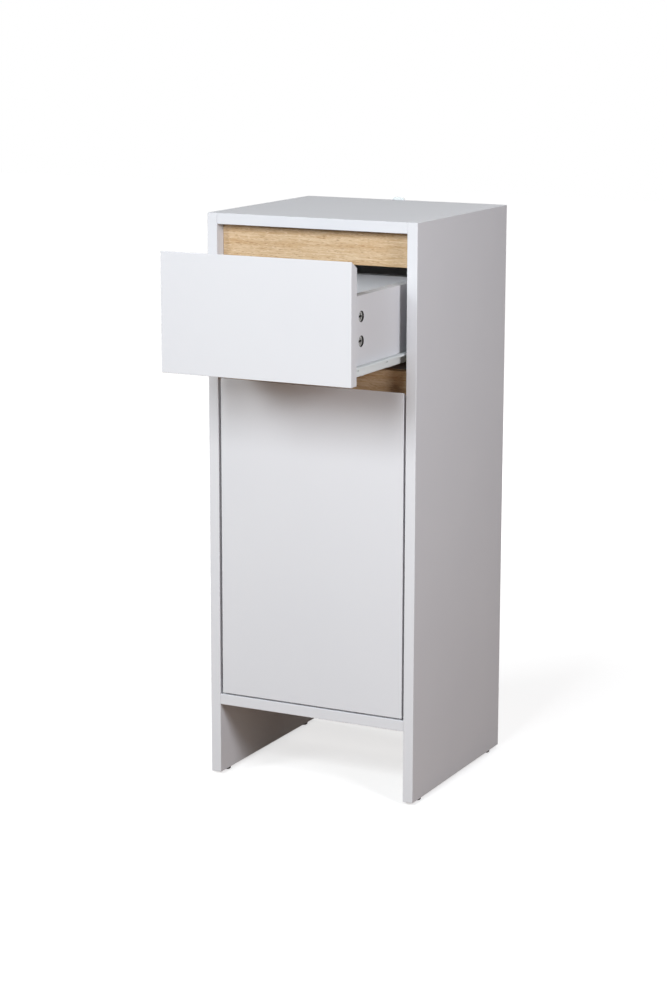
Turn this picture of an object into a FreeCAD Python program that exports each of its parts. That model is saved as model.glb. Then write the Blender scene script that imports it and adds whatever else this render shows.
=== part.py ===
import FreeCAD, Part
import os

# Narrow bathroom cabinet with one drawer over one hinged door, between two sides that reach the floor.
# X runs to the viewer's right, Y to the back, Z up, in millimetres. The origin is on the floor, under the
# middle of the whole, with the drawer pulled out and the door shut.

V = FreeCAD.Vector
EAST = V(1, 0, 0)
NORTH = V(0, 1, 0)
UP = V(0, 0, 1)
SIDES = (("left", -1), ("right", 1))

# Carcass
WIDTH = 316.0
DEPTH = 300.0
SIDE_H = 796.0
BOARD = 15.0
LEG_CLEAR = 101.0
EASE = 0.8
BACK_T = 3.0
BACK_SETIN = 8.0
GROOVE = 6.0
SLIP = 0.1

# Rails, fronts and the gaps between them
RAIL_H = 47.0
RAIL_SETBACK = 17.5
FRONT_T = 16.0
FINGER_SLOPE = 9.5
TOP_REVEAL = 21.0
MID_REVEAL = 29.0
DRAWER_FRONT_H = 161.0
DRAWER_FRONT_GAP = 3.5
RAIL_DROP = 3.0
DOOR_GAP_HINGE = 4.0
DOOR_GAP_FREE = 3.0
DOOR_GAP_BELOW = 2.5
BUMPER_R = 4.0
BUMPER_T = 1.2
BUMPER_INSET = 11.0

# Shelf: its underside rises above the middle between the hinges
SHELF_RISE = 1.8
SHELF_SETBACK = 25.0
SHELF_PLAY = 0.5
PIN_R = 2.5
PIN_IN = 9.0
PIN_OUT = 8.0
PIN_PAD_T = 2.0
PIN_PAD_R = 4.0
PIN_SETIN = 45.0
PIN_PITCH = 32.0
PIN_STEPS = (-1, 0, 1)

# Knock-down fittings
CAM_R = 7.5
CAM_DEPTH = 12.0
CAM_SETBACK = 24.0
CAM_EDGE = 50.0
CAM_CROSS_L = 9.0
CAM_CROSS_W = 2.0
CAM_CROSS_DEEP = 2.5
BOLT_R = 3.0
BOLT_PLAY = 0.3
BOLT_START = 1.0
THREAD_R = 2.3
THREAD_L = 9.0
DOWEL_R = 4.0
DOWEL_IN = 18.0
DOWEL_OUT = 10.0
DOWEL_EDGE = 12.0

# Screws, as the head's and the shank's radius, the head's height and the shank's length
SCREW_R = 1.75
SCREW_HEAD_R = 3.4
SCREW_HEAD_H = 1.8
SCREW_L = 10.0
CONFIRMAT_R = 2.5
CONFIRMAT_HEAD_R = 3.5
CONFIRMAT_HEAD_H = 4.0
CONFIRMAT_L = 40.0
BACK_SCREWS = 5
BACK_SCREW_L = 12.0

# Foot glides and the hanger at the back
GLIDE_R = 6.0
GLIDE_H = 4.0
GLIDE_BEVEL = 1.0
GLIDE_INSET = 30.0
NAIL_R = 1.2
NAIL_L = 12.0
HANGER_W = 19.0
HANGER_H = 50.0
HANGER_T = 2.0
HANGER_RISE = 4.0
HANGER_X = -12.0
HANGER_CORNER = 4.75
KEYHOLE_R = 5.0
KEYHOLE_SLOT_R = 2.6
KEYHOLE_RUN = 12.0
KEYHOLE_UP = 15.0

# Drawer box
SIDE_GAP = 13.0
BOX_L = 250.0
BOX_KEPT_IN = 93.0
BOX_H = 103.6
BOX_T = 15.0
BOX_RISE = 9.6
BOX_BOTTOM_T = 3.0
BOX_BOTTOM_UP = 6.6
DRAWER_CAM_SETBACK = 32.0
DRAWER_CAM_UP = 44.0
DRAWER_CAM_PITCH = 32.0
BACK_SCREW_UP = 34.0
BACK_SCREW_PITCH = 45.0

# Roller runners
SHEET = 1.2
BEND_R = 1.8
ROLLER_R = 9.5
ROLLER_W = 6.4
ROLLER_PLAY = 0.3
ROLLER_RIM = 0.8
AXLE_R = 2.0
AXLE_PLAY = 0.06
AXLE_HEAD_R = 3.4
ROLLER_END = 13.0
RUNNER_LIP = 3.2
FLANGE_RISE = 12.6
RUNNER_FOOT = 12.0
CHANNEL_LIP = 2.4
CHANNEL_TOP = 6.0
CHANNEL_AIR = 1.6
CHANNEL_MOUTH = 40.0
RUNNER_SCREW_FIRST = 45.0
RUNNER_SCREW_PITCH = 80.0
RUNNER_SCREWS = 3
RUNNER_SETBACK = 12.0
SPARE_HOLE_R = 1.7
SPARE_HOLE_DEPTH = 5.0
SPARE_HOLE_UP = 7.5
SPARE_HOLE_FIRST = 21.0
SPARE_HOLE_PITCH = 86.0
SPARE_HOLES = 3

# Cup hinges: pivots are measured from the door's hinge edge and from its front face
HINGE_INSET = 92.0
HINGE_A = (12.4, 13.1)
HINGE_B = (34.5, 20.2)
HINGE_C = (7.6, 15.2)
HINGE_D = (26.4, 29.8)
CUP_R = 17.5
CUP_WALL = 0.8
CUP_DEPTH = 11.5
CUP_EDGE = 3.0
CUP_FLANGE_T = 1.0
CUP_FLANGE_R = 20.0
CUP_SLOT = 6.4
WING_OFFSET = 9.5
WING_PITCH = 24.0
WING_R = 6.0
HINGE_PIN_R = 1.5
HINGE_PIN_PLAY = 0.08
EYE_R = 2.3
BARREL_R = 2.7
LINK_HALF = 1.1
INNER_HALF_W = 3.4
OUTER_IN = 4.0
OUTER_OUT = 5.4
OUTER_BOW = 1.3
OUTER_BOW_AT = (0.24, 0.62)
INNER_HOOK = 3.5
INNER_HOOK_AT = (0.11, 0.46)
ARM_IN = 6.0
ARM_OUT = 7.4
ARM_NECK_HALF = 3.4
ARM_BACK = 78.0
ARM_FRONT = 44.0
ARM_LIFT = 2.4
ARM_TOP = 12.0
PLATE_T = 1.5
PLATE_R = 6.0
PLATE_SCREW = 16.0
PLATE_HALF_W = 5.4
PLATE_END = 2.0
ARM_SCREWS_AT = (52.0, 69.0)

# Places that follow from the sizes
PULL = BOX_L - BOX_KEPT_IN
FRONT_Y = (PULL - DEPTH - HANGER_T) / 2
BACK_Y = FRONT_Y + DEPTH
INNER_X = WIDTH / 2 - BOARD
TOP_Z = GLIDE_H + SIDE_H
TOP_UNDER = TOP_Z - BOARD
BOTTOM_UNDER = GLIDE_H + LEG_CLEAR
BOTTOM_TOP = BOTTOM_UNDER + BOARD
BACK_FACE = BACK_Y - BACK_SETIN - BACK_T
RAIL_Y = FRONT_Y + RAIL_SETBACK
RAIL_BACK = RAIL_Y + BOARD
DRAWER_TOP = TOP_UNDER - TOP_REVEAL
DRAWER_BOTTOM = DRAWER_TOP - DRAWER_FRONT_H
LOWER_RAIL_TOP = DRAWER_BOTTOM - RAIL_DROP
DIVIDER_UNDER = LOWER_RAIL_TOP - BOARD
DOOR_TOP = DRAWER_BOTTOM - MID_REVEAL
DOOR_BOTTOM = BOTTOM_TOP + DOOR_GAP_BELOW
DOOR_LEFT = -INNER_X + DOOR_GAP_HINGE
DOOR_RIGHT = INNER_X - DOOR_GAP_FREE
DRAWER_Y = FRONT_Y - PULL
BOX_Y = DRAWER_Y + FRONT_T
BOX_BACK_Y = BOX_Y + BOX_L
BOX_X = INNER_X - SIDE_GAP
BOX_Z = DRAWER_BOTTOM + BOX_RISE
BOX_FLOOR = BOX_Z + BOX_BOTTOM_UP
ROLLER_IN = BOX_X + SHEET + ROLLER_PLAY
FLANGE_UNDER = BOX_Z + FLANGE_RISE
ROLLER_Z = FLANGE_UNDER - ROLLER_PLAY - ROLLER_R
TRACK_TOP = ROLLER_Z - ROLLER_R - ROLLER_PLAY
RUNNER_Y = RAIL_Y + RUNNER_SETBACK
FRONT_ROLLER_Y = RUNNER_Y + ROLLER_END
REAR_ROLLER_Y = BOX_BACK_Y - ROLLER_END
LOWER_HINGE = DOOR_BOTTOM + HINGE_INSET
UPPER_HINGE = DOOR_TOP - HINGE_INSET
HINGES = (("lower", LOWER_HINGE), ("upper", UPPER_HINGE))
SHELF_Z = (LOWER_HINGE + UPPER_HINGE) / 2 + SHELF_RISE


def box(x0, x1, y0, y1, z0, z1):
    """Block between two corners, given in either order along X."""
    return Part.makeBox(abs(x1 - x0), y1 - y0, z1 - z0, V(min(x0, x1), y0, z0))


def rod(radius, length, start, direction):
    """Cylinder from a start point along a direction."""
    return Part.makeCylinder(radius, length, start, direction)


def eased(shape):
    """The shape with all its edges slightly rounded, as edge-banded boards are."""
    return shape.makeFillet(EASE, shape.Edges)


def bent(shape, corners):
    """The shape with its long edges through the given points rounded, as bent sheet is."""
    long_edges = [edge for edge in shape.Edges if abs(edge.tangentAt(edge.FirstParameter).y) == 1]
    bends = []
    for corner in corners:
        for edge in long_edges:
            off = edge.valueAt(edge.FirstParameter) - corner
            if V(off.x, 0, off.z).Length < SLIP:
                bends.append(edge)
    return shape.makeFillet(BEND_R, bends)


def prism(points, sweep):
    """Solid swept from a closed outline."""
    outline = Part.makePolygon(points + [points[0]])
    return Part.Face(outline).extrude(sweep)


def mirrored(shape, sign):
    """The right-hand shape, or its mirror image for the left."""
    return shape if sign > 0 else shape.mirror(V(0, 0, 0), EAST)


def cross_cut(centre, normal, along, across):
    """Cutter for a cross recess in a face with the given outward normal."""
    cutters = []
    for long_way, short_way in ((along, across), (across, along)):
        corner = centre - normal * CAM_CROSS_DEEP - (long_way * CAM_CROSS_L + short_way * CAM_CROSS_W) / 2
        ends = [corner, corner + long_way * CAM_CROSS_L]
        ends += [ends[1] + short_way * CAM_CROSS_W, corner + short_way * CAM_CROSS_W]
        cutters.append(prism(ends, normal * (2 * CAM_CROSS_DEEP)))
    return cutters


def cam(face, normal, bolt_way):
    """Cam disc sunk flush in a board's face, open towards its bolt, with a cross recess."""
    across = normal.cross(bolt_way)
    body = rod(CAM_R - SLIP, CAM_DEPTH - SLIP, face, normal * -1)
    pocket = rod(BOLT_R + BOLT_PLAY, CAM_R * 2, face - normal * (BOARD / 2), bolt_way)
    return body.cut([pocket] + cross_cut(face, normal, bolt_way, across))


def cam_holes(face, normal, bolt_way, setback):
    """Cutters for a cam and the bolt's way to it from the board's end."""
    return [rod(CAM_R, CAM_DEPTH, face, normal * -1),
            rod(BOLT_R + BOLT_PLAY, setback, face - normal * (BOARD / 2), bolt_way)]


def cam_bolt(face, normal, bolt_way, setback):
    """Bolt from the cam to the next board, with its thread in that board."""
    start = face - normal * (BOARD / 2) + bolt_way * BOLT_START
    shaft = rod(BOLT_R, setback - BOLT_START, start, bolt_way)
    return shaft.fuse(rod(THREAD_R, setback - BOLT_START + THREAD_L, start, bolt_way))


def thread_hole(face, normal, bolt_way, setback):
    """Cutter for the bolt's thread in the next board."""
    return rod(THREAD_R + SLIP, THREAD_L + SLIP, face - normal * (BOARD / 2) + bolt_way * setback, bolt_way)


def screw(seat, way, length=SCREW_L):
    """Pan head screw whose head stands on the seat, with its shank along the given way."""
    head = rod(SCREW_HEAD_R, SCREW_HEAD_H, seat - way * SCREW_HEAD_H, way)
    return head.fuse(rod(SCREW_R, length, seat, way))


def screw_hole(seat, way, length=SCREW_L):
    """Cutter for a screw's shank."""
    return rod(SCREW_R + SLIP, length + SLIP, seat, way)


def strap(points, half, z0, z1):
    """Flat bar of constant width along a path in plan, with round ends, between two heights."""
    bars = []
    for place in points:
        bars.append(rod(half, z1 - z0, V(place.x, place.y, z0), UP))
    for start, end in zip(points, points[1:]):
        side = (end - start).cross(UP).normalize() * half
        corners = [start + side, end + side, end - side, start - side]
        bars.append(prism([V(c.x, c.y, z0) for c in corners], UP * (z1 - z0)))
    return bars[0].fuse(bars[1:]).removeSplitter()


def carcass_cam_places():
    """Face, normal and bolt way of every cam in the top and bottom panels."""
    places = []
    for under in (TOP_UNDER, BOTTOM_UNDER):
        for y in (FRONT_Y + CAM_EDGE, BACK_Y - CAM_EDGE):
            for _, sign in SIDES:
                places.append((V(sign * (INNER_X - CAM_SETBACK), y, under), UP * -1, EAST * sign))
    return places


def dowel_places():
    """Inner side face points of the dowels that hold the divider and the rails, with their ways out."""
    places = []
    rail_y = RAIL_Y + BOARD / 2
    for _, sign in SIDES:
        x = sign * INNER_X
        for top in (TOP_UNDER, LOWER_RAIL_TOP):
            for z in (top - DOWEL_EDGE, top - RAIL_H + DOWEL_EDGE):
                places.append((V(x, rail_y, z), EAST * sign))
        for y in (RAIL_BACK + CAM_EDGE, BACK_Y - CAM_EDGE):
            places.append((V(x, y, DIVIDER_UNDER + BOARD / 2), EAST * sign))
    return places


def dowel_holes():
    """Cutters for all dowels."""
    length = DOWEL_IN + DOWEL_OUT + 2 * SLIP
    deep = DOWEL_IN + SLIP
    return [rod(DOWEL_R + SLIP, length, place - way * deep, way) for place, way in dowel_places()]


def dowels():
    """All dowels."""
    length = DOWEL_IN + DOWEL_OUT
    return [rod(DOWEL_R, length, place - way * DOWEL_IN, way) for place, way in dowel_places()]


def pin_places(steps):
    """Inner side face points of the shelf pins at the given rows, with their ways into the sides."""
    places = []
    for _, sign in SIDES:
        for y in (FRONT_Y + SHELF_SETBACK + PIN_SETIN, BACK_FACE - PIN_SETIN):
            for step in steps:
                z = SHELF_Z - PIN_PAD_T - PIN_R + step * PIN_PITCH
                places.append((V(sign * INNER_X, y, z), EAST * sign))
    return places


def shelf_pin(place, way):
    """Shelf pin with a flat pad on top for the shelf."""
    peg = rod(PIN_R, PIN_IN + PIN_OUT, place - way * PIN_OUT, way)
    pad_x = (place.x - way.x * SLIP, place.x - way.x * PIN_OUT)
    pad_y = (place.y - PIN_PAD_R, place.y + PIN_PAD_R)
    pad = box(*pad_x, *pad_y, place.z + PIN_R - SLIP, place.z + PIN_R + PIN_PAD_T)
    return peg.fuse(pad).removeSplitter()


def glide_places():
    """Corner names of the foot glides with their places on the floor."""
    places = []
    for side, sign in SIDES:
        for end, y in (("front", FRONT_Y + GLIDE_INSET), ("back", BACK_Y - GLIDE_INSET)):
            places.append((f"{end}_{side}", V(sign * (WIDTH - BOARD) / 2, y, 0)))
    return places


def glide(place):
    """Foot glide with a bevelled sole and a nail."""
    sole = Part.makeCone(GLIDE_R - GLIDE_BEVEL, GLIDE_R, GLIDE_BEVEL, place, UP)
    seat = place + UP * GLIDE_BEVEL
    disc = rod(GLIDE_R, GLIDE_H - GLIDE_BEVEL, seat, UP)
    nail = rod(NAIL_R, GLIDE_H + NAIL_L - GLIDE_BEVEL, seat, UP)
    return sole.fuse([disc, nail]).removeSplitter()


def runner_screw_places(start):
    """Distances along a runner of its screws."""
    return [start + RUNNER_SCREW_FIRST + step * RUNNER_SCREW_PITCH for step in range(RUNNER_SCREWS)]


def hinge_point(pivot, z):
    """Place of a hinge pivot at a height."""
    return V(DOOR_LEFT + pivot[0], FRONT_Y + pivot[1], z)


def plate_screw_places():
    """Seats of the mounting plate screws on the left side panel."""
    y = FRONT_Y + (ARM_FRONT + ARM_BACK) / 2
    return [V(-INNER_X, y, z + way * PLATE_SCREW) for _, z in HINGES for way in (-1, 1)]


def side_panel(sign):
    """Full-height side with the holes and the groove on its inner face."""
    panel = eased(box(sign * INNER_X, sign * WIDTH / 2, FRONT_Y, BACK_Y, GLIDE_H, TOP_Z))
    cutters = [box(sign * INNER_X, sign * (INNER_X + GROOVE), BACK_FACE - SLIP, BACK_FACE + BACK_T + SLIP,
                   BOTTOM_UNDER, TOP_UNDER + GROOVE)]
    cutters += [thread_hole(*place, CAM_SETBACK) for place in carcass_cam_places() if place[2].x == sign]
    cutters += [hole for hole in dowel_holes() if hole.BoundBox.Center.x * sign > 0]
    pins = [place for place in pin_places(PIN_STEPS) if place[1].x == sign]
    cutters += [rod(PIN_R + SLIP, PIN_IN + SLIP, *place) for place in pins]
    wall = sign * INNER_X
    cutters += [screw_hole(V(wall, y, ROLLER_Z), EAST * sign) for y in runner_screw_places(RUNNER_Y)]
    cutters += [rod(NAIL_R + SLIP, GLIDE_H + NAIL_L + SLIP, place, UP) for _, place in glide_places()]
    if sign < 0:
        cutters += [screw_hole(seat, EAST * -1) for seat in plate_screw_places()]
    return panel.cut(cutters)


def top_panel():
    """Top between the sides, grooved below for the back, drilled for its cams and the hanger."""
    panel = eased(box(-INNER_X, INNER_X, FRONT_Y, BACK_Y, TOP_UNDER, TOP_Z))
    groove_y = (BACK_FACE - SLIP, BACK_FACE + BACK_T + SLIP)
    cutters = [box(-INNER_X, INNER_X, *groove_y, TOP_UNDER, TOP_UNDER + GROOVE)]
    for place in carcass_cam_places():
        cutters += cam_holes(*place, CAM_SETBACK)
    cutters.append(hanger_screw(SLIP))
    return panel.cut(cutters)


def bottom_panel():
    """Bottom between the sides, drilled for its cams, flush with the front."""
    panel = eased(box(-INNER_X, INNER_X, FRONT_Y, BACK_FACE - SLIP, BOTTOM_UNDER, BOTTOM_TOP))
    cutters = [hole for place in carcass_cam_places() for hole in cam_holes(*place, CAM_SETBACK)]
    cutters += [screw_hole(V(seat.x, BACK_FACE, seat.z), NORTH * -1) for seat in back_screw_places()]
    return panel.cut(cutters)


def divider_panel():
    """Fixed floor under the drawer, behind the lower rail."""
    panel = box(-INNER_X, INNER_X, RAIL_BACK, BACK_FACE - SLIP, DIVIDER_UNDER, LOWER_RAIL_TOP)
    return panel.cut(dowel_holes())


def rail(top):
    """Cross rail behind the fronts, held by dowels."""
    return eased(box(-INNER_X, INNER_X, RAIL_Y, RAIL_BACK, top - RAIL_H, top)).cut(dowel_holes())


def back_screw_places():
    """Seats of the screws that hold the back to the bottom panel."""
    pitch = 2 * INNER_X / BACK_SCREWS
    x0 = -INNER_X + pitch / 2
    z = BOTTOM_UNDER + BOARD / 2
    return [V(x0 + step * pitch, BACK_FACE + BACK_T, z) for step in range(BACK_SCREWS)]


def back_panel():
    """Thin back in the grooves of the sides and the top, screwed to the bottom panel."""
    reach = INNER_X + GROOVE - SLIP
    panel = box(-reach, reach, BACK_FACE, BACK_FACE + BACK_T, BOTTOM_UNDER, TOP_UNDER + GROOVE - SLIP)
    return panel.cut([screw_hole(seat, NORTH * -1) for seat in back_screw_places()])


def shelf():
    """Loose shelf on its pins."""
    reach = INNER_X - SHELF_PLAY
    depth = (FRONT_Y + SHELF_SETBACK, BACK_FACE - SHELF_PLAY)
    return eased(box(-reach, reach, *depth, SHELF_Z, SHELF_Z + BOARD))


def hanger_plate():
    """Keyhole plate on the top's back edge, with a rounded upper end that shows above the top."""
    top = TOP_Z + HANGER_RISE
    half = HANGER_W / 2
    plate = box(HANGER_X - half, HANGER_X + half, BACK_Y, BACK_Y + HANGER_T, top - HANGER_H, top)
    upright = [edge for edge in plate.Edges if abs(edge.tangentAt(edge.FirstParameter).y) == 1]
    plate = plate.makeFillet(HANGER_CORNER, upright)
    low = V(HANGER_X, BACK_Y, top - HANGER_H + KEYHOLE_UP)
    high = low + UP * KEYHOLE_RUN
    slot = box(low.x - KEYHOLE_SLOT_R, low.x + KEYHOLE_SLOT_R, BACK_Y, BACK_Y + HANGER_T, low.z, high.z)
    keyhole = [rod(KEYHOLE_R, HANGER_T, low, NORTH), rod(KEYHOLE_SLOT_R, HANGER_T, high, NORTH), slot]
    return plate.cut(keyhole + [hanger_screw(SLIP)])


def hanger_screw(play):
    """Flat screw with its head sunk in the hanger, or the cutter for it when play is added."""
    seat = V(HANGER_X, BACK_Y + HANGER_T, TOP_Z - BOARD / 2)
    head = Part.makeCone(SCREW_HEAD_R + play, SCREW_R + play, SCREW_HEAD_H, seat, NORTH * -1)
    return head.fuse(rod(SCREW_R + play, SCREW_L + play, seat, NORTH * -1)).removeSplitter()


def cabinet_runner():
    """Right channel on the cabinet side: a track below, a short guard above and a stop lip inwards."""
    wall = INNER_X
    low = TRACK_TOP - SHEET
    high = FLANGE_UNDER + SHEET + CHANNEL_AIR
    inner = BOX_X + SHEET - ROLLER_PLAY
    start = RUNNER_Y
    end = RUNNER_Y + BOX_L
    parts = [box(wall - SHEET, wall, start, end, low, high + SHEET),
             box(inner - SHEET, wall, start, end, low, TRACK_TOP),
             box(inner - SHEET, inner, start, end, low, TRACK_TOP + CHANNEL_LIP),
             box(wall - CHANNEL_TOP, wall, start + CHANNEL_MOUTH, end, high, high + SHEET)]
    cutters = [screw_hole(V(wall - SHEET, y, ROLLER_Z), EAST) for y in runner_screw_places(RUNNER_Y)]
    cutters.append(rod(AXLE_R + SLIP, SHEET, V(wall - SHEET, FRONT_ROLLER_Y, ROLLER_Z), EAST))
    channel = parts[0].fuse(parts[1:]).removeSplitter()
    return bent(channel, [V(wall, start, low), V(inner - SHEET, start, low)]).cut(cutters)


def drawer_runner():
    """Right rail of the drawer: a foot below the side, a web with spare holes and a flange over the rollers."""
    web = BOX_X + SHEET
    edge = ROLLER_IN + ROLLER_W + ROLLER_PLAY + SHEET
    low = BOX_Z - SHEET
    top = FLANGE_UNDER + SHEET
    parts = [box(BOX_X - RUNNER_FOOT, web, BOX_Y, BOX_BACK_Y, low, BOX_Z),
             box(BOX_X, web, BOX_Y, BOX_BACK_Y, low, top),
             box(BOX_X, edge, BOX_Y, BOX_BACK_Y, FLANGE_UNDER, top),
             box(edge - SHEET, edge, BOX_Y, BOX_BACK_Y, top - RUNNER_LIP, top)]
    cutters = [screw_hole(seat, UP) for seat in drawer_runner_seats()]
    cutters.append(rod(AXLE_R + SLIP, SHEET, V(BOX_X, REAR_ROLLER_Y, ROLLER_Z), EAST))
    cutters += spare_holes(1)
    rail_shape = parts[0].fuse(parts[1:]).removeSplitter()
    return bent(rail_shape, [V(web, BOX_Y, low), V(BOX_X, BOX_Y, top), V(edge, BOX_Y, top)]).cut(cutters)


def spare_holes(sign):
    """Unused screw holes of a drawer runner's web, each with a pilot hole on in the drawer side."""
    places = [BOX_Y + SPARE_HOLE_FIRST + step * SPARE_HOLE_PITCH for step in range(SPARE_HOLES)]
    x = sign * (BOX_X - SPARE_HOLE_DEPTH)
    reach = SPARE_HOLE_DEPTH + SHEET
    return [rod(SPARE_HOLE_R, reach, V(x, y, BOX_Z + SPARE_HOLE_UP), EAST * sign) for y in places]


def drawer_runner_seats():
    """Seats under the right drawer runner's foot of its screws."""
    x = BOX_X - RUNNER_FOOT / 2
    return [V(x, y, BOX_Z - SHEET) for y in runner_screw_places(BOX_Y)]


def roller(y):
    """Right roller with eased rims and a bore."""
    start = V(ROLLER_IN, y, ROLLER_Z)
    wheel = rod(ROLLER_R, ROLLER_W, start, EAST)
    rims = [edge for edge in wheel.Edges if edge.Closed]
    return wheel.makeChamfer(ROLLER_RIM, rims).cut(rod(AXLE_R + AXLE_PLAY, ROLLER_W, start, EAST))


def front_axle():
    """Right axle riveted in the cabinet runner."""
    start = V(ROLLER_IN, FRONT_ROLLER_Y, ROLLER_Z)
    return rod(AXLE_R, INNER_X - ROLLER_IN, start, EAST)


def rear_axle():
    """Right axle riveted in the drawer runner's web."""
    start = V(BOX_X, REAR_ROLLER_Y, ROLLER_Z)
    pin = rod(AXLE_R, ROLLER_IN + ROLLER_W + ROLLER_PLAY - BOX_X, start, EAST)
    head = rod(AXLE_HEAD_R, SHEET, V(ROLLER_IN + ROLLER_W + ROLLER_PLAY, REAR_ROLLER_Y, ROLLER_Z), EAST)
    return pin.fuse(head).removeSplitter()


def front_panel(x0, x1, face_y, bottom, top):
    """Front with its upper edge sloping down to the back as a finger grip."""
    outline = [V(x0, face_y, bottom), V(x0, face_y, top), V(x0, face_y + FRONT_T, top - FINGER_SLOPE),
               V(x0, face_y + FRONT_T, bottom)]
    return eased(prism(outline, EAST * (x1 - x0)))


def drawer_cam_places():
    """Face, normal and bolt way of the cams on the outer faces of the drawer sides."""
    places = []
    for _, sign in SIDES:
        for step in range(2):
            z = BOX_Z + DRAWER_CAM_UP + step * DRAWER_CAM_PITCH
            places.append((V(sign * BOX_X, BOX_Y + DRAWER_CAM_SETBACK, z), EAST * sign, NORTH * -1))
    return places


def bumper_places(x0, x1, y, top):
    """Places on the back of a front for its two bumpers."""
    z = top - FINGER_SLOPE - BUMPER_INSET / 2
    return [V(x0 + BUMPER_INSET, y, z), V(x1 - BUMPER_INSET, y, z)]


def drawer_bottom_slab(play):
    """Drawer bottom in its grooves, or the grooves' cutter when play is added."""
    reach = BOX_X - BOX_T + GROOVE - SLIP + play
    front = BOX_Y - GROOVE + SLIP - play
    return box(-reach, reach, front, BOX_BACK_Y, BOX_FLOOR - play, BOX_FLOOR + BOX_BOTTOM_T + play)


def drawer_front():
    """Drawer front with the groove for the bottom and holes for the cam bolts."""
    half = INNER_X - DRAWER_FRONT_GAP
    panel = front_panel(-half, half, DRAWER_Y, DRAWER_BOTTOM, DRAWER_TOP)
    cutters = [thread_hole(*place, DRAWER_CAM_SETBACK) for place in drawer_cam_places()]
    return panel.cut(cutters + [drawer_bottom_slab(SLIP)])


def drawer_side(sign):
    """Drawer side, grooved for the bottom and drilled for cams, screws and the runner."""
    panel = eased(box(sign * BOX_X, sign * (BOX_X - BOX_T), BOX_Y, BOX_BACK_Y, BOX_Z, BOX_Z + BOX_H))
    cutters = [drawer_bottom_slab(SLIP)]
    for place in drawer_cam_places():
        cutters += cam_holes(*place, DRAWER_CAM_SETBACK)
    for seat, way in drawer_back_screw_places():
        cutters += [rod(CONFIRMAT_HEAD_R + SLIP, CONFIRMAT_HEAD_H, seat, way),
                    rod(CONFIRMAT_R + SLIP, CONFIRMAT_L + SLIP, seat, way)]
    cutters += [screw_hole(V(sign * seat.x, seat.y, seat.z), UP) for seat in drawer_runner_seats()]
    return panel.cut(cutters + spare_holes(sign))


def drawer_back_screw_places():
    """Seats and ways of the screws through the drawer sides into the back."""
    places = []
    for _, sign in SIDES:
        for step in range(2):
            z = BOX_Z + BACK_SCREW_UP + step * BACK_SCREW_PITCH
            places.append((V(sign * BOX_X, BOX_BACK_Y - BOX_T / 2, z), EAST * -sign))
    return places


def drawer_back_screw(seat, way):
    """Flat screw sunk flush in the drawer side."""
    head = rod(CONFIRMAT_HEAD_R, CONFIRMAT_HEAD_H - SLIP, seat, way)
    return head.fuse(rod(CONFIRMAT_R, CONFIRMAT_L, seat, way)).removeSplitter()


def drawer_back():
    """Drawer back between the sides, standing on the bottom."""
    reach = BOX_X - BOX_T
    low = BOX_FLOOR + BOX_BOTTOM_T
    panel = eased(box(-reach, reach, BOX_BACK_Y - BOX_T, BOX_BACK_Y, low, BOX_Z + BOX_H))
    cutters = [rod(CONFIRMAT_R + SLIP, CONFIRMAT_L + SLIP, *place) for place in drawer_back_screw_places()]
    return panel.cut(cutters)


def cup_screw_places():
    """Seats of the cup flange screws."""
    pivot = (CUP_EDGE + CUP_R + WING_OFFSET, FRONT_T + CUP_FLANGE_T)
    return [hinge_point(pivot, z + way * WING_PITCH) for _, z in HINGES for way in (-1, 1)]


def cup_centre(depth, z):
    """Point on a cup's axis at a depth behind the door's face."""
    return hinge_point((CUP_EDGE + CUP_R, depth), z)


def door_panel():
    """Door with bores for the hinge cups and their screws."""
    panel = front_panel(DOOR_LEFT, DOOR_RIGHT, FRONT_Y, DOOR_BOTTOM, DOOR_TOP)
    cutters = [screw_hole(seat, NORTH * -1) for seat in cup_screw_places()]
    for _, z in HINGES:
        cutters.append(rod(CUP_R + SLIP, CUP_DEPTH + SLIP, cup_centre(FRONT_T, z), NORTH * -1))
    return panel.cut(cutters)


def hinge_cup(z):
    """Hinge cup with a slot for the links and a winged flange on the door's back."""
    back = cup_centre(FRONT_T, z)
    body = rod(CUP_R, CUP_DEPTH, back, NORTH * -1)
    wing = back + EAST * WING_OFFSET
    wings = [rod(WING_R, CUP_FLANGE_T, wing + UP * (way * WING_PITCH), NORTH) for way in (-1, 1)]
    web_x = (wing.x - WING_R, wing.x + WING_R)
    web = box(*web_x, back.y, back.y + CUP_FLANGE_T, z - WING_PITCH, z + WING_PITCH)
    body = body.fuse([rod(CUP_FLANGE_R, CUP_FLANGE_T, back, NORTH), web] + wings).removeSplitter()
    floor = back.y - CUP_DEPTH + CUP_WALL
    well = rod(CUP_R - CUP_WALL, CUP_DEPTH + CUP_FLANGE_T, V(back.x, floor, z), NORTH)
    clear = back.y + 2 * CUP_FLANGE_T
    slot = box(back.x - CUP_R, back.x + CUP_R, floor, clear, z - CUP_SLOT, z + CUP_SLOT)
    notch = box(back.x - CUP_FLANGE_R, back.x, back.y, clear, z - CUP_SLOT, z + CUP_SLOT)
    cutters = [well.common(slot), notch]
    cutters += [screw_hole(seat, NORTH * -1) for seat in cup_screw_places()]
    cutters += [pin_bore(HINGE_A, z)]
    return body.cut(cutters)


def pin_bore(pivot, z):
    """Cutter for a hinge pin through the whole hinge."""
    place = hinge_point(pivot, z - CUP_R / 2)
    return rod(HINGE_PIN_R + HINGE_PIN_PLAY, CUP_R, place, UP)


def cup_pins(z):
    """Pair of stub pins that carry the outer link in the cup's cheeks."""
    length = CUP_R / 2 - OUTER_IN
    low = rod(HINGE_PIN_R, length, hinge_point(HINGE_A, z - CUP_R / 2), UP)
    high = rod(HINGE_PIN_R, length, hinge_point(HINGE_A, z + OUTER_IN), UP)
    return [low, high]


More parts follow.
